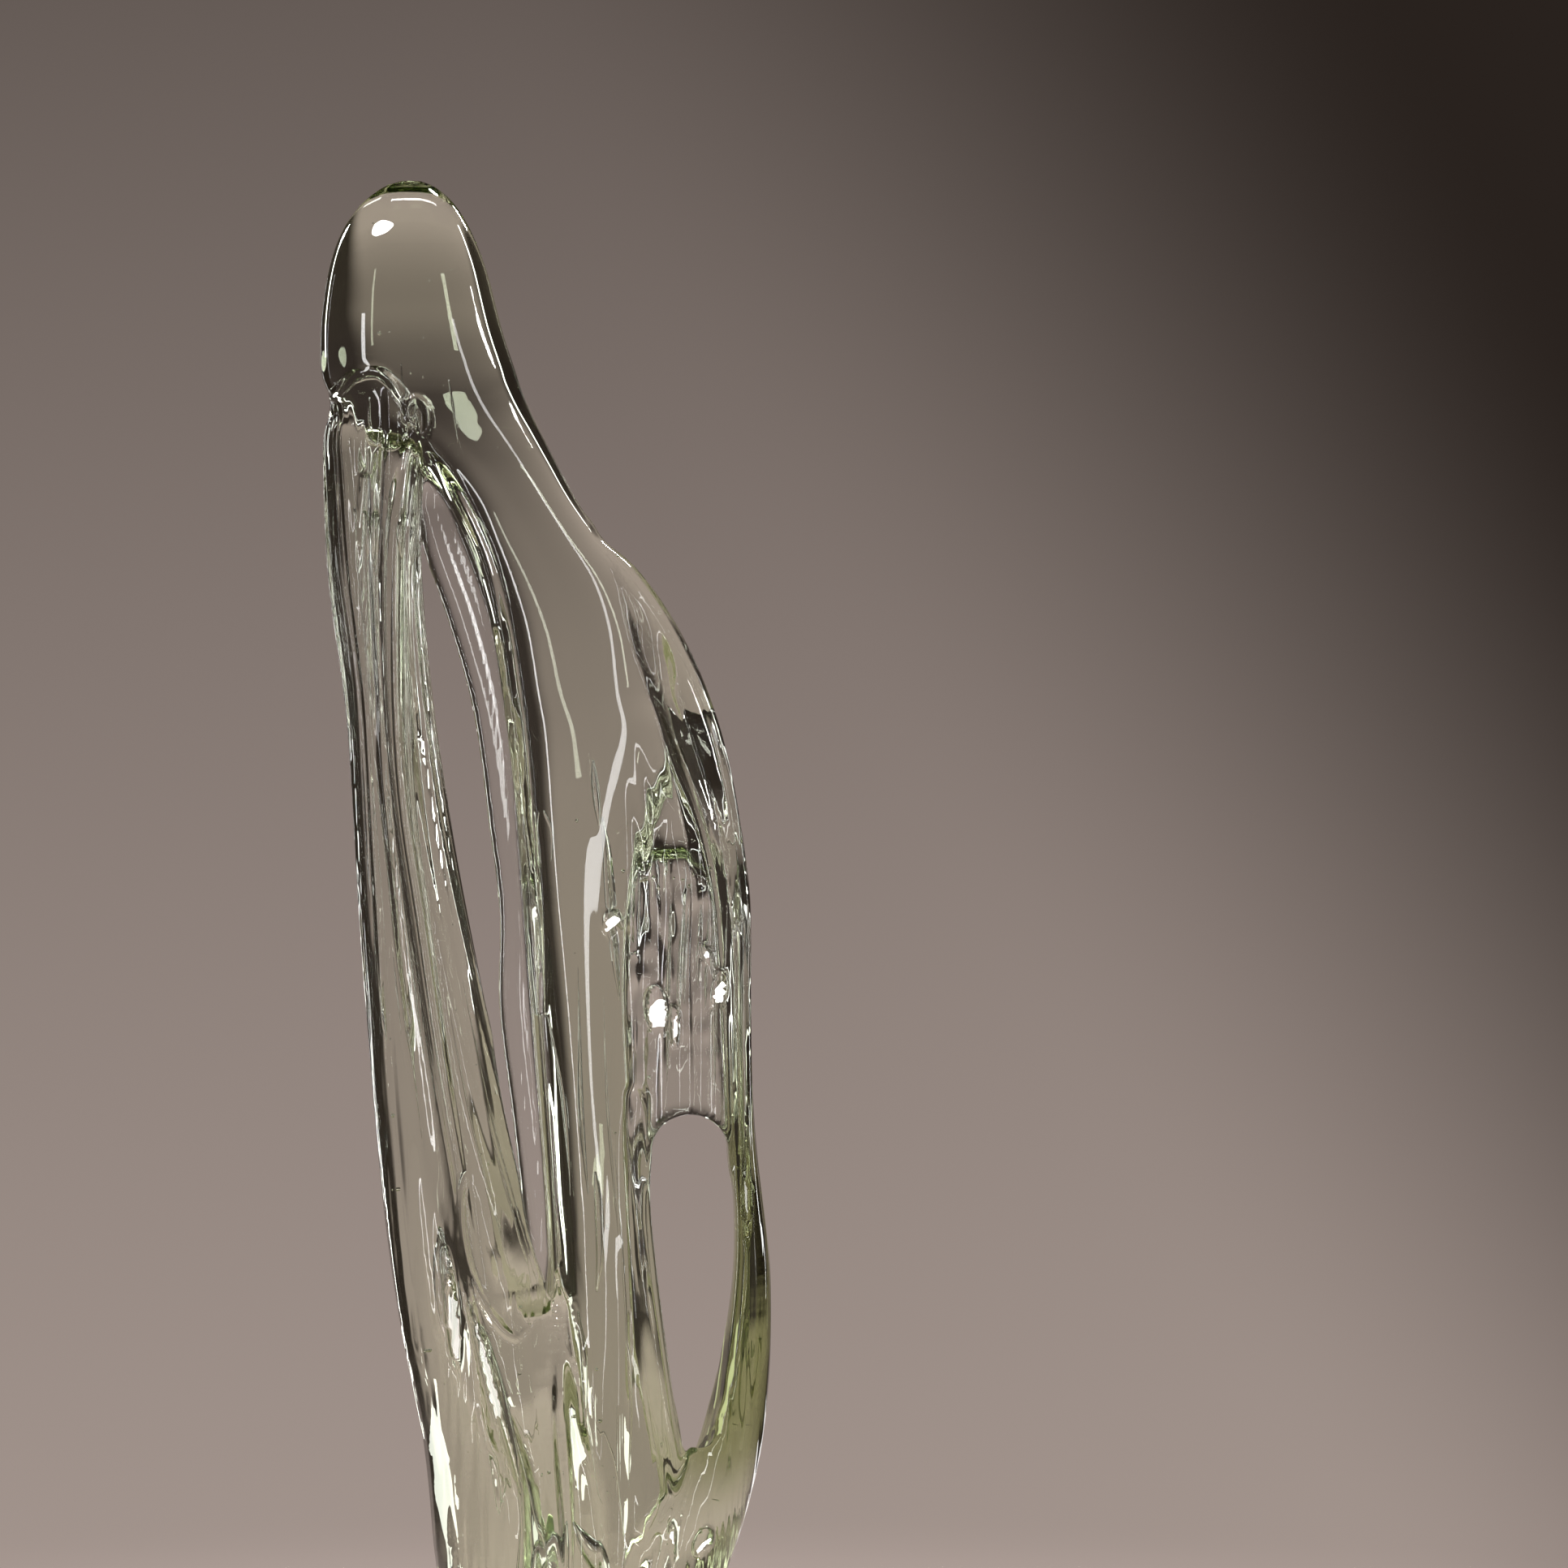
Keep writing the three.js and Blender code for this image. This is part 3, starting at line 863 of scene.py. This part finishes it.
def glass_field(x, y, z):
    """About the distance outside the fused glass, in millimetres."""
    field = foot_field(x, y, z)
    for name in ("core", "sail", "inner_cane", "outer_cane", "web", "right_limb"):
        distance, softness = gather_field(name, x, y, z)
        field = soft_union(field, distance, softness)
    for opening in OPENINGS.values():
        field = cut(field, hole_field(opening, x, y, z), opening["soft"])
    wall = POCKET_FRONT + POCKET_RIPPLE * ripple(x, z) + crinkle(x, z)
    pocket = -soft_union(-hole_field(POCKET, x, y, z), y - wall, POCKET_WALL_SOFT)
    field = cut(field, pocket, POCKET["soft"])
    distance, softness = gather_field("fin", x, y, z)
    field = soft_union(field, distance, softness)
    above = np.clip((z - TRUNK_RIPPLE_LOW) / TRUNK_RIPPLE_IN, 0, 1)
    below = np.clip((TRUNK_RIPPLE_TOP - z) / TRUNK_RIPPLE_OUT, 0, 1)
    streaks = ripple(x + TRUNK_RIPPLE_SLANT * y, z + TRUNK_RIPPLE_LIFT)
    field = field + TRUNK_RIPPLE * (above * below) * streaks
    for rows, softness, sign in STRANDS:
        if near_strand(rows, x, y, z):
            field = sign * soft_union(sign * field, strand_field(rows, x, y, z), softness)
    for mark in MARKS:
        if near_mark(mark, x, z):
            field = cut(field, mark_field(mark, x, y, z), MARK_SOFT)
    distance, softness = gather_field("knot", x, y, z)
    field = soft_union(field, distance, softness)
    return np.maximum(field, -z)


def meshed_glass():
    """Points in millimetres and quads of the fused skin, sampled only in blocks that it passes through."""
    corner_low, corner_high = np.round(np.array(cad_box) / MM)
    low, span = corner_low - MARGIN, corner_high - corner_low + 2 * MARGIN
    blocks = np.ceil(span / (VOXEL * BLOCK)).astype(int)
    middle = [low[i] + VOXEL * BLOCK * (np.arange(blocks[i]) + 0.5) for i in range(3)]
    coarse = np.concatenate(
        [glass_field(*np.meshgrid(*middle[:2], [z], indexing="ij")) for z in middle[2]], axis=2
    )
    values = np.repeat(np.repeat(np.repeat(coarse, BLOCK, 0), BLOCK, 1), BLOCK, 2).astype(np.float32)
    steps = np.arange(BLOCK)
    for place in np.argwhere(np.abs(coarse) < BLOCK_REACH * VOXEL * BLOCK):
        corner = place * BLOCK
        axes = [(low[n] + VOXEL * (corner[n] + steps)).astype(np.float32) for n in range(3)]
        block = tuple(slice(start, start + BLOCK) for start in corner)
        values[block] = glass_field(*np.meshgrid(*axes, indexing="ij"))
    grid = openvdb.FloatGrid(background=INSIDE_LIMIT)
    grid.copyFromArray(np.clip(values, -INSIDE_LIMIT, INSIDE_LIMIT))
    points, quads = grid.convertToQuads(isovalue=0.0)
    return low + VOXEL * points.astype(float), quads.astype(int)


# Four directions of a tetrahedron, for the slope of the field from four samples
PROBES = np.array([[1, 1, 1], [1, -1, -1], [-1, 1, -1], [-1, -1, 1]], float)


def slope_at(points, step=0.04):
    """The field's value and slope at points, worked out in layers of like height."""
    value, slope = np.empty(len(points)), np.empty_like(points)
    cell = np.floor(points / PART_CELL).astype(int)
    order = np.lexsort((cell[:, 0], cell[:, 1], cell[:, 2]))
    for part in np.array_split(order, max(1, len(order) // PART_POINTS)):
        samples = [glass_field(*(points[part] + step * probe).T) for probe in PROBES]
        value[part] = sum(samples) / 4
        slope[part] = sum(sample[:, None] * probe for sample, probe in zip(samples, PROBES)) / (4 * step)
    return value, slope


def unit(vectors):
    """Vectors of length one, in the same directions."""
    return vectors / np.maximum(np.linalg.norm(vectors, axis=1, keepdims=True), LENGTH_GUARD)


def settled(points, rounds=2):
    """Points moved onto the exact skin, and their outward directions."""
    for _ in range(rounds):
        value, slope = slope_at(points)
        move = -(value / np.maximum((slope**2).sum(1), LEAST_STEEPNESS))[:, None] * slope
        reach = np.linalg.norm(move, axis=1, keepdims=True)
        points = points + move * np.minimum(1, SETTLING_SHARE * VOXEL / np.maximum(reach, LENGTH_GUARD))
    points[:, 2] = np.maximum(points[:, 2], 0)
    _, slope = slope_at(points)
    return points, unit(slope)


def inside(points, cover, rounds=3):
    """Points pushed in until the skin is at least the cover away."""
    for _ in range(rounds):
        value, slope = slope_at(points)
        steepness = np.maximum((slope**2).sum(1), LEAST_STEEPNESS)
        points = points - (np.maximum(value + cover, 0) / steepness)[:, None] * slope
    return points


def sunk(shell):
    """A shell pushed in under the skin, or nothing where the glass is too thin to hold it."""
    points, faces = shell
    moved = inside(points, SKIN_COVER)
    value, _ = slope_at(moved)
    if value.max() > -LEAST_COVER or np.linalg.norm(moved - points, axis=1).max() > SUNK_LIMIT:
        return None
    return moved, faces


def air_shell(rows, tilt, sides=14):
    """Points and faces of a closed pocket with pointed ends, along its rows."""
    track = catmull_rom(rows, per_span=8)
    track[:, 3:] = np.maximum(track[:, 3:], LEAST_POCKET)
    heading = unit(np.gradient(track[:, :3], axis=0))
    level = unit(np.cross(heading, (0.0, 1.0, 0.0)))
    upright = np.cross(level, heading)
    turn = math.radians(tilt)
    wide = level * math.cos(turn) + upright * math.sin(turn)
    thick = upright * math.cos(turn) - level * math.sin(turn)
    angle = np.arange(sides) / sides * 2 * math.pi
    rings = (
        track[:, None, :3]
        + wide[:, None] * np.cos(angle)[None, :, None] * track[:, None, 3:4]
        + thick[:, None] * np.sin(angle)[None, :, None] * track[:, None, 4:5]
    )
    low = track[0, :3] - heading[0] * track[0, 3]
    high = track[-1, :3] + heading[-1] * track[-1, 3]
    points = np.vstack([rings.reshape(-1, 3), low, high])
    count = len(track)
    faces = []
    for i in range(count - 1):
        for j in range(sides):
            k = (j + 1) % sides
            faces.append([i * sides + j, i * sides + k, (i + 1) * sides + k, (i + 1) * sides + j])
    for j in range(sides):
        k = (j + 1) % sides
        faces.append([count * sides, k, j])
        faces.append([count * sides + 1, (count - 1) * sides + j, (count - 1) * sides + k])
    return points, faces


def seed_shell(centre, radius):
    """Points and faces of a small round bubble."""
    ball = bmesh.new()
    bmesh.ops.create_icosphere(ball, subdivisions=2 if radius > LARGE_SEED else 1, radius=radius)
    points = np.array([vertex.co for vertex in ball.verts]) + centre
    faces = [[vertex.index for vertex in face.verts] for face in ball.faces]
    ball.free()
    return points, faces


def inward_normals(points, faces):
    """Directions at the points of a shell, into its air, and its faces turned the same way."""
    normals = np.zeros_like(points)
    for face in faces:
        corner = points[face]
        normals[face] += np.cross(corner[1] - corner[0], corner[2] - corner[0])
    if (normals * (points - points.mean(0))).sum() > 0:
        normals = -normals
        faces = [face[::-1] for face in faces]
    return unit(normals), faces


def drawn_thread(generator, name, low, high, widest):
    """Rows of one thread that follows a gather."""
    track = TRACKS[name]
    start = generator.uniform(low, high - THREAD_LENGTHS[0])
    end = min(high, start + generator.uniform(*THREAD_LENGTHS))
    across, deep = generator.uniform(-THREAD_ACROSS, THREAD_ACROSS), generator.uniform(*THREAD_DEEP)
    rows = []
    for i, share in enumerate(THREAD_SIZES):
        level = start + (end - start) * i / (len(THREAD_SIZES) - 1)
        x, y, wide, depth, turn = (float(np.interp(level, track[:, 0], track[:, n])) for n in range(1, 6))
        turn = math.radians(turn)
        right, back = across * wide, deep * depth * math.sqrt(1 - across * across)
        size = widest * share
        rows.append((
            x + right * math.cos(turn) - back * math.sin(turn),
            y + right * math.sin(turn) + back * math.cos(turn),
            level,
            size,
            THREAD_FLATNESS * size,
        ))
    return rows


def air_in_glass():
    """The shells of all air in the glass."""
    generator = random.Random(5)
    shells = [air_shell(pocket["rows"], pocket["tilt"]) for pocket in POCKETS.values()]
    for name, count, low, high, widest in THREADS:
        for _ in range(count):
            rows = drawn_thread(generator, name, low, high, widest)
            tilt = generator.uniform(-THREAD_TILT, THREAD_TILT)
            shells.append(air_shell(rows, tilt, THREAD_SIDES))
    shells = [shell for shell in map(sunk, shells) if shell]
    places = np.array([[generator.uniform(*ends) for ends in SEED_RANGES] for _ in range(SEED_TRIES)])
    value, _ = slope_at(places)
    for place in places[value < -SEED_DEPTH][:SEED_COUNT]:
        shells.append(seed_shell(place, generator.choice(SEED_RADII)))
    for i in range(ROW_COUNT):
        depth = generator.uniform(*ROW_DEPTHS)
        height = POCKET_TOP + ROW_LIFT + generator.uniform(-ROW_SPREAD, ROW_SPREAD)
        place = inside(np.array([(ROW_START + ROW_STEP * i, depth, height)]), ROW_COVER)[0]
        shells.append(seed_shell(place, generator.choice(ROW_RADII)))
    return shells


def build_skin():
    """The fused skin and the shells of the air in it, as one piece."""
    points, quads = meshed_glass()
    points, normals = settled(points)
    corners = points[quads]
    face_normal = np.cross(corners[:, 1] - corners[:, 0], corners[:, 2] - corners[:, 0])
    if (face_normal * normals[quads[:, 0]]).sum() < 0:
        quads = quads[:, ::-1]
    all_points, all_normals, all_faces = [points], [normals], quads.tolist()
    offset = len(points)
    for shell_points, shell_faces in air_in_glass():
        shell_normals, shell_faces = inward_normals(shell_points, shell_faces)
        all_points.append(shell_points)
        all_normals.append(shell_normals)
        all_faces.extend([[index + offset for index in face] for face in shell_faces])
        offset += len(shell_points)
    mesh = bpy.data.meshes.new("glass_body")
    mesh.from_pydata((np.vstack(all_points) * MM).tolist(), [], all_faces)
    mesh.polygons.foreach_set("use_smooth", np.ones(len(mesh.polygons), bool))
    mesh.update()
    mesh.normals_split_custom_set_from_vertices(np.vstack(all_normals).tolist())
    piece = bpy.data.objects.new("glass_body", mesh)
    bpy.context.scene.collection.objects.link(piece)
    return piece


def mapped(nodes, links, source, low, high, to_low=0.0, to_high=1.0, smooth=False):
    """A map-range node on a value, clamped to its ends."""
    node = nodes.new("ShaderNodeMapRange")
    node.interpolation_type = "SMOOTHSTEP" if smooth else "LINEAR"
    node.inputs["From Min"].default_value = low
    node.inputs["From Max"].default_value = high
    node.inputs["To Min"].default_value = to_low
    node.inputs["To Max"].default_value = to_high
    links.new(source, node.inputs["Value"])
    return node.outputs["Result"]


def along(nodes, links, source, axis):
    """How far a direction points along an axis."""
    node = nodes.new("ShaderNodeVectorMath")
    node.operation = "DOT_PRODUCT"
    node.inputs[1].default_value = axis
    links.new(source, node.inputs[0])
    return node.outputs["Value"]


def product(nodes, links, first, second):
    """Two values multiplied."""
    node = nodes.new("ShaderNodeMath")
    node.operation = "MULTIPLY"
    links.new(first, node.inputs[0])
    links.new(second, node.inputs[1])
    return node.outputs["Value"]


def colour_between(nodes, links, share, first, second):
    """A colour that goes from the first to the second with a value from 0 to 1."""
    node = nodes.new("ShaderNodeMix")
    node.data_type = "RGBA"
    node.inputs[6].default_value = (*first, 1)
    node.inputs[7].default_value = (*second, 1)
    links.new(share, node.inputs["Factor"])
    return node.outputs[2]


# The glass: its index, the colour and density of its absorption, and the noise of the film on it with the
# roughness that the film brings. The right limb's base colour is a painted olive shade, standing in for the
# dark that the limb shows through refraction, and this painted shade sets in along an axis to the right and
# above the limb's root, in metres.
GLASS_INDEX, GLASS_COLOUR, GLASS_DENSITY = 1.5, (0.43, 0.57, 0.08), 11.0
FILM_SCALE, FILM_DETAIL, FILM_SHOWS, FILM_ROUGHNESS = 60, 4, (0.55, 0.8), 0.05
LIMB_PAINTED_SHADE, LIMB_AXIS = (0.45, 0.49, 0.28), (1, 0, -0.15)
LIMB_EDGE, LIMB_ROOT = (0.002, 0.011), (0.098, 0.122)
WHITE = (1.0, 1.0, 1.0)


def clear_glass():
    """Clear glass, greenish where it is thick, with a painted olive shade on the right limb."""
    material = bpy.data.materials.new("clear_glass")
    material.use_nodes = True
    nodes, links = material.node_tree.nodes, material.node_tree.links
    surface = nodes["Principled BSDF"]
    surface.inputs["Base Color"].default_value = (*WHITE, 1)
    surface.inputs["Transmission Weight"].default_value = 1.0
    surface.inputs["IOR"].default_value = GLASS_INDEX
    place = nodes.new("ShaderNodeTexCoord").outputs["Object"]
    film = nodes.new("ShaderNodeTexNoise")
    film.inputs["Scale"].default_value = FILM_SCALE
    film.inputs["Detail"].default_value = FILM_DETAIL
    links.new(place, film.inputs["Vector"])
    wear = mapped(nodes, links, film.outputs["Fac"], *FILM_SHOWS, 0.0, FILM_ROUGHNESS)
    links.new(wear, surface.inputs["Roughness"])
    # Painted shade: the right limb's base colour is darkened to olive to stand in for the dark it shows
    # through refraction.
    right = mapped(nodes, links, along(nodes, links, place, LIMB_AXIS), *LIMB_EDGE, smooth=True)
    raised = mapped(nodes, links, along(nodes, links, place, (0, 0, 1)), *LIMB_ROOT, smooth=True)
    painted_shade = colour_between(nodes, links, product(nodes, links, right, raised), WHITE, LIMB_PAINTED_SHADE)
    links.new(painted_shade, surface.inputs["Base Color"])
    absorb = nodes.new("ShaderNodeVolumeAbsorption")
    absorb.inputs["Color"].default_value = (*GLASS_COLOUR, 1)
    absorb.inputs["Density"].default_value = GLASS_DENSITY
    links.new(absorb.outputs["Volume"], nodes["Material Output"].inputs["Volume"])
    return material


# The room, in metres: a pale round of floor that fades into the air

FLOOR_RADIUS, FLOOR_FADE, FLOOR_SIDES = 0.62, 0.3, 96
FLOOR_COLOUR, FLOOR_ROUGHNESS, FLOOR_GLOSS = (0.42, 0.345, 0.31), 0.9, 0.1

# The air is paler low than high. It falls off into the dark beyond the upper right, as behind the real
# object, but not in front or at the far right, and it is dark in a round place on the left behind. Each
# range is of how far a direction points along its axis.
AIR_LOW, AIR_HIGH = (0.41, 0.335, 0.30), (0.022, 0.016, 0.013)
UP, RIGHT, BACK = (0, 0, 1), (1, 0, 0), (0, 1, 0)
PALE_RANGE, RIGHT_RANGE, BACK_RANGE = (-0.25, 0.34), (0.8, 0.95), (0.0, 0.3)
UPPER_RIGHT, UPPER_RIGHT_RANGE = (0.865, 0, 0.501), (0.02, 0.21)
LEFT_PLACE, LEFT_RANGE = (-0.82, 0.57, 0), (0.87, 0.94)

# Lamps and panels: name, place, what it is aimed at, its two sizes, watts
LAMPS = (
    ("key", (-0.3, -0.8, 1.2), (0, 0, 0.25), (0.26, 0.26), 8),
    ("top", (0.2, 0.3, 1.35), (0, 0, 0.1), (0.18, 0.18), 9),
    ("side", (0.9, -0.6, 0.75), (0, 0, 0.2), (0.2, 0.2), 4),
    ("rim", (-0.8, 0.5, 0.9), (0, 0, 0.2), (0.2, 0.2), 4),
    ("back", (0.45, 0.9, 0.95), (0, 0, 0.15), (0.18, 0.18), 4),
    ("panel_left", (-0.95, 0.1, 0.4), (0, 0, 0.25), (0.05, 0.6), 0.3),
    ("panel_right", (0.95, 0.25, 0.35), (0, 0, 0.25), (0.06, 0.6), 0.4),
    ("panel_front_left", (-0.4, -0.98, 0.32), (0, 0, 0.25), (0.05, 0.6), 1.4),
    ("panel_front_right", (0.2, -1.04, 0.3), (0, 0, 0.25), (0.04, 0.7), 0.9),
    ("panel_back_left", (-0.62, 0.92, 0.32), (0, 0, 0.25), (0.03, 0.6), 0.22),
    ("panel_back_right", (0.62, 0.95, 0.32), (0, 0, 0.25), (0.04, 0.6), 0.35),
    ("panel_over", (0.0, -0.25, 1.3), (0, 0, 0.2), (0.4, 0.05), 1.2),
    ("panel_low", (0.1, 0.46, 0.03), (0.02, 0, 0.1), (0.16, 0.05), 0.03),
)

CAMERA_PLACE, CAMERA_LENS, CAMERA_SENSOR = (0.0502, -1.072, 0.2816), 100, 36
GLASS_BOUNCES, GLOSSY_BOUNCES = 24, 12


def build_air():
    """The world: pale air with its dark places."""
    world = bpy.data.worlds.new("air")
    bpy.context.scene.world = world
    world.use_nodes = True
    nodes, links = world.node_tree.nodes, world.node_tree.links
    direction = nodes.new("ShaderNodeTexCoord").outputs["Generated"]

    def part(axis, ends, low=0.0, high=1.0, smooth=True):
        """A value that goes from low to high as a direction turns to an axis."""
        return mapped(nodes, links, along(nodes, links, direction, axis), *ends, low, high, smooth)

    pale = part(UP, PALE_RANGE, 1.0, 0.0, smooth=False)
    shade = product(nodes, links, part(UPPER_RIGHT, UPPER_RIGHT_RANGE), part(RIGHT, RIGHT_RANGE, 1.0, 0.0))
    shade = product(nodes, links, shade, part(BACK, BACK_RANGE))
    light = mapped(nodes, links, shade, 0.0, 1.0, 1.0, 0.0)
    light = product(nodes, links, light, part(LEFT_PLACE, LEFT_RANGE, 1.0, 0.0))
    light = product(nodes, links, light, pale)
    colour = colour_between(nodes, links, light, AIR_HIGH, AIR_LOW)
    links.new(colour, nodes["Background"].inputs["Color"])


def build_floor():
    """The floor, which fades out towards its edge."""
    bpy.ops.mesh.primitive_circle_add(vertices=FLOOR_SIDES, radius=FLOOR_RADIUS, fill_type="TRIFAN")
    floor = bpy.context.object
    floor.name = "floor"
    material = bpy.data.materials.new("floor_paper")
    material.use_nodes = True
    nodes, links = material.node_tree.nodes, material.node_tree.links
    surface = nodes["Principled BSDF"]
    surface.inputs["Base Color"].default_value = (*FLOOR_COLOUR, 1)
    surface.inputs["Roughness"].default_value = FLOOR_ROUGHNESS
    surface.inputs["Specular IOR Level"].default_value = FLOOR_GLOSS
    place = nodes.new("ShaderNodeTexCoord")
    length = nodes.new("ShaderNodeVectorMath")
    length.operation = "LENGTH"
    links.new(place.outputs["Object"], length.inputs[0])
    fade = mapped(nodes, links, length.outputs["Value"], FLOOR_FADE, FLOOR_RADIUS, smooth=True)
    clear = nodes.new("ShaderNodeBsdfTransparent")
    blend = nodes.new("ShaderNodeMixShader")
    links.new(fade, blend.inputs["Fac"])
    links.new(surface.outputs["BSDF"], blend.inputs[1])
    links.new(clear.outputs["BSDF"], blend.inputs[2])
    links.new(blend.outputs["Shader"], nodes["Material Output"].inputs["Surface"])
    floor.data.materials.append(material)


def area_light(name, place, aim, size, power):
    """A lamp in watts: round where its two sizes are alike, or else a strip."""
    data = bpy.data.lights.new(name, "AREA")
    data.shape = "ELLIPSE" if size[0] == size[1] else "RECTANGLE"
    data.size, data.size_y = size
    data.energy = power
    lamp = bpy.data.objects.new(name, data)
    lamp.visible_camera = False
    lamp.location = place
    lamp.rotation_euler = (Vector(aim) - Vector(place)).to_track_quat("-Z", "Y").to_euler()
    bpy.context.scene.collection.objects.link(lamp)


def build_room():
    """Floor, air and lamps."""
    build_floor()
    build_air()
    for lamp in LAMPS:
        area_light(*lamp)


def build_camera():
    """The camera, level and straight from the front."""
    data = bpy.data.cameras.new("camera")
    data.lens = CAMERA_LENS
    data.sensor_width = CAMERA_SENSOR
    camera = bpy.data.objects.new("camera", data)
    camera.location = CAMERA_PLACE
    camera.rotation_euler = (math.pi / 2, 0, 0)
    bpy.context.scene.collection.objects.link(camera)
    bpy.context.scene.camera = camera


# The scene

skin = build_skin()
skin.data.materials.append(clear_glass())
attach(skin, "root")
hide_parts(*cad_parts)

build_room()
build_camera()

scene = bpy.context.scene
scene.view_settings.view_transform = "Standard"
scene.cycles.max_bounces = GLASS_BOUNCES
scene.cycles.transmission_bounces = GLASS_BOUNCES
scene.cycles.glossy_bounces = GLOSSY_BOUNCES
